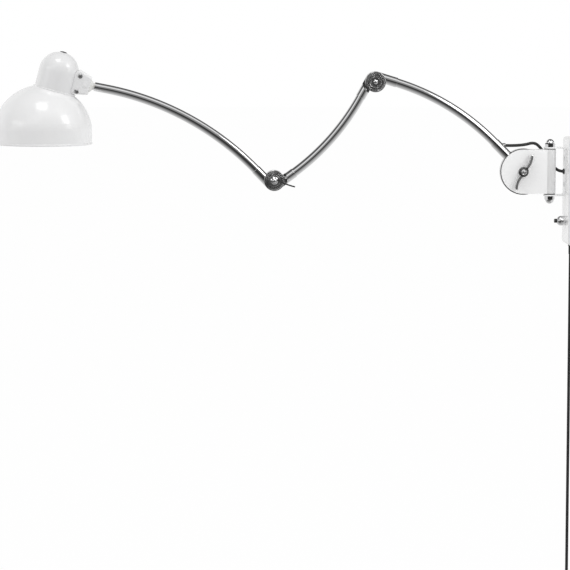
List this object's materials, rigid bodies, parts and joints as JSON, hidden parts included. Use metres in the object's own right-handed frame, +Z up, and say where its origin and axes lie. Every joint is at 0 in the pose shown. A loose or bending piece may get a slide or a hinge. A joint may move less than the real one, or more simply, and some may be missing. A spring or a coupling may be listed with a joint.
{
  "type": "articulating wall lamp",
  "caption": "Wall lamp with a box on the wall, a swivelling knuckle, three curved tube arms on clamping elbows, a ball joint and a domed metal shade.",
  "frame": {"origin": "centre of the wall box's back face, on the wall", "axes": "+X into the wall, +Z up, the arms in the plane Y = 0, -Y the side with the wing nut"},
  "size_m": [1.2753, 0.2126, 1.3413],
  "materials": {
    "white_enamel": "gloss",
    "chrome": "polished",
    "steel": "satin",
    "brass": "satin",
    "black_flex": "matte",
    "black_plastic": "matte",
    "white_plastic": "gloss",
    "cream_plastic": "matte",
    "bulb_glass": "frosted"
  },
  "bodies": {
    "wall_box": {"wall_plate": "steel", "wall_housing": "white_enamel", "housing_screws": "chrome", "hinge_strap": "white_enamel", "strap_screws": "steel", "pivot_pin": "steel", "acorn_nuts": "chrome", "lead_grommet": "black_plastic", "switch_body": "black_plastic", "switch_collar": "chrome", "cord_gland": "black_plastic", "terminal_block": "cream_plastic", "box_flex": "black_flex", "lead_lower": "black_flex", "mains_cord": "black_flex", "mains_cord_coil": "black_flex", "cord_tie": "black_plastic", "plug_body": "black_plastic", "plug_pins": "brass"},
    "push_button": {"switch_button": "black_plastic"},
    "knuckle": {"knuckle_fork": "white_enamel", "barrel_bushes": "black_plastic", "knuckle_bolt": "chrome", "lead_clip": "black_plastic", "lead_upper": "black_flex"},
    "wing_nut": {"knuckle_wing_nut": "chrome"},
    "inner_arm": {"inner_drum": "chrome", "knuckle_friction_washers": "black_plastic", "inner_tube": "chrome", "inner_elbow_end": "chrome", "inner_flex": "black_flex", "elbow_a_bolt": "chrome", "elbow_a_washer": "black_plastic"},
    "lever_a": {"elbow_a_lever": "chrome"},
    "middle_arm": {"middle_upper_end": "chrome", "middle_tube": "chrome", "middle_lower_end": "chrome", "middle_flex": "black_flex"},
    "outer_arm": {"outer_elbow_end": "chrome", "outer_tube": "chrome", "elbow_b_bolt": "chrome", "elbow_b_washer": "black_plastic", "outer_flex": "black_flex", "ball_bush": "brass"},
    "lever_b": {"elbow_b_lever": "chrome"},
    "ball": {"joint_ball": "white_plastic"},
    "liner": {"ball_liner": "white_plastic"},
    "head": {"clamp_near_half": "white_enamel", "clamp_far_half": "white_enamel", "clamp_screws": "steel", "fixing_screws": "steel", "neck_housing": "white_enamel", "neck_screws": "steel", "crown_button": "black_plastic", "shade_dome": "white_enamel", "lampholder": "white_plastic", "holder_ring": "white_plastic", "bulb_glass": "bulb_glass", "bulb_cap": "brass", "head_flex": "black_flex"}
  },
  "joints": [
    {"name": "bracket_swivel", "type": "hinge", "parent": "wall_box", "child": "knuckle", "pos_m": [-0.0726, 0, 0.042], "axis": [0, 0, 1], "range_deg": [-80, 80], "deforming": ["lead_lower"]},
    {"name": "knuckle_tilt", "type": "hinge", "parent": "knuckle", "child": "inner_arm", "pos_m": [-0.1315, 0, 0.042], "axis": [0, 1, 0], "range_deg": [-45, 40], "deforming": ["lead_upper"]},
    {"name": "elbow_a_bend", "type": "hinge", "parent": "inner_arm", "child": "middle_arm", "pos_m": [-0.4532, 0, 0.23606], "axis": [0, 1, 0], "range_deg": [-85, 75]},
    {"name": "elbow_b_bend", "type": "hinge", "parent": "middle_arm", "child": "outer_arm", "pos_m": [-0.67138, 0, 0.02322], "axis": [0, 1, 0], "range_deg": [-70, 85]},
    {"name": "ball_turn", "type": "hinge", "parent": "outer_arm", "child": "ball", "pos_m": [-1.0777, 0, 0.22954], "axis": [-0.9815, 0, 0.1912], "range_deg": [-150, 150]},
    {"name": "head_tilt", "type": "hinge", "parent": "ball", "child": "liner", "pos_m": [-1.0777, 0, 0.22954], "axis": [0, 1, 0], "range_deg": [-25, 25]},
    {"name": "head_swing", "type": "hinge", "parent": "liner", "child": "head", "pos_m": [-1.0777, 0, 0.22954], "axis": [0.247, 0, 0.969], "range_deg": [-18, 18]},
    {"name": "knuckle_wing_turn", "type": "hinge", "parent": "knuckle", "child": "wing_nut", "pos_m": [-0.1315, 0, 0.042], "axis": [0, 1, 0], "continuous": true},
    {"name": "elbow_a_lever_turn", "type": "hinge", "parent": "inner_arm", "child": "lever_a", "pos_m": [-0.4532, 0, 0.23606], "axis": [0, 1, 0], "continuous": true},
    {"name": "elbow_b_lever_turn", "type": "hinge", "parent": "outer_arm", "child": "lever_b", "pos_m": [-0.67138, 0, 0.02322], "axis": [0, 1, 0], "continuous": true},
    {"name": "switch_push", "type": "slide", "parent": "wall_box", "child": "push_button", "axis": [1, 0, 0], "range_m": [0, 0.003], "stiffness_N_per_m": 600, "springref_m": -0.002}
  ]
}
